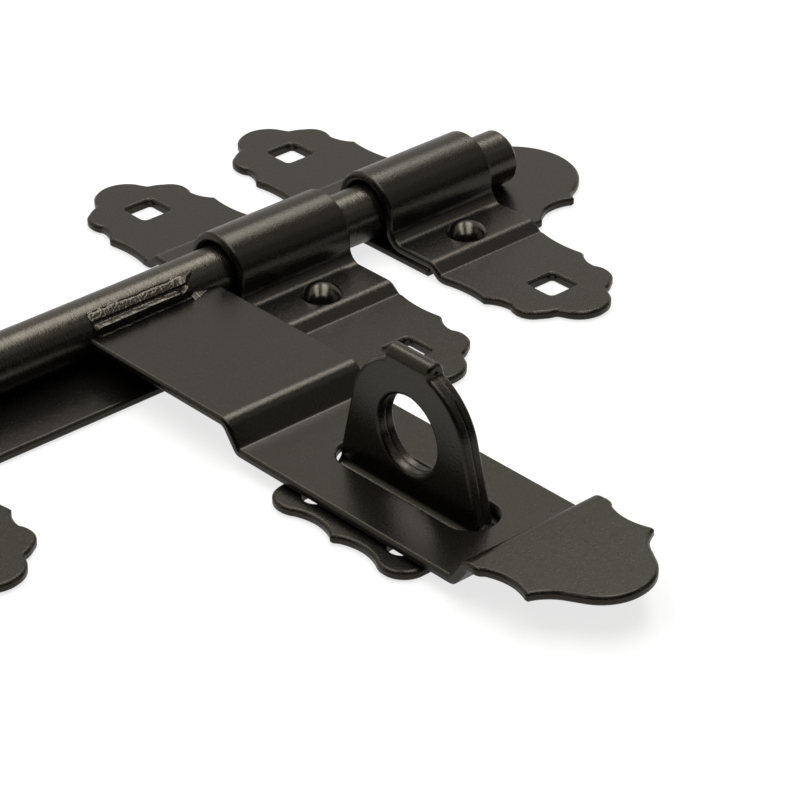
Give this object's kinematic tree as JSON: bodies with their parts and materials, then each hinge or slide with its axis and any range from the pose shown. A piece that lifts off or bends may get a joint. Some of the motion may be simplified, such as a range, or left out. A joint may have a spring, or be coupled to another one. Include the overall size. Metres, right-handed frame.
{
  "type": "padbolt",
  "caption": "Round pad bolt with riveted saddle guides, a separate keeper, a long cranked hasp flap and a folded padlock staple.",
  "frame": {"origin": "on the wall plane, under the bolt's axis, at the middle of the right guide", "axes": "+X along the bolt towards the keeper, -Y towards the hasp flap's tip, +Z away from the wall"},
  "size_m": [0.2948, 0.2497, 0.0405],
  "materials": {
    "black_coat": "satin powder coat over steel sheet",
    "rod_coat": "satin powder coat over a round steel bar",
    "weld_coat": "satin powder coat over rough weld metal"
  },
  "bodies": {
    "door_side": {"main_plate": "black_coat", "left_guide": "black_coat", "right_guide": "black_coat", "keeper_plate": "black_coat", "keeper_guide": "black_coat", "rivets": "black_coat", "staple": "black_coat"},
    "bolt": {"bolt_rod": "rod_coat"},
    "hasp": {"hasp_flap": "black_coat", "weld_beads": "weld_coat"}
  },
  "joints": [
    {"name": "bolt_slide", "type": "slide", "parent": "door_side", "child": "bolt", "axis": [1, 0, 0], "range_m": [-0.0019, 0.0012]},
    {"name": "flap_swing", "type": "hinge", "parent": "bolt", "child": "hasp", "pos_m": [-0.0442, 0, 0.0101], "axis": [-1, 0, 0], "range_deg": [0, 180]}
  ]
}
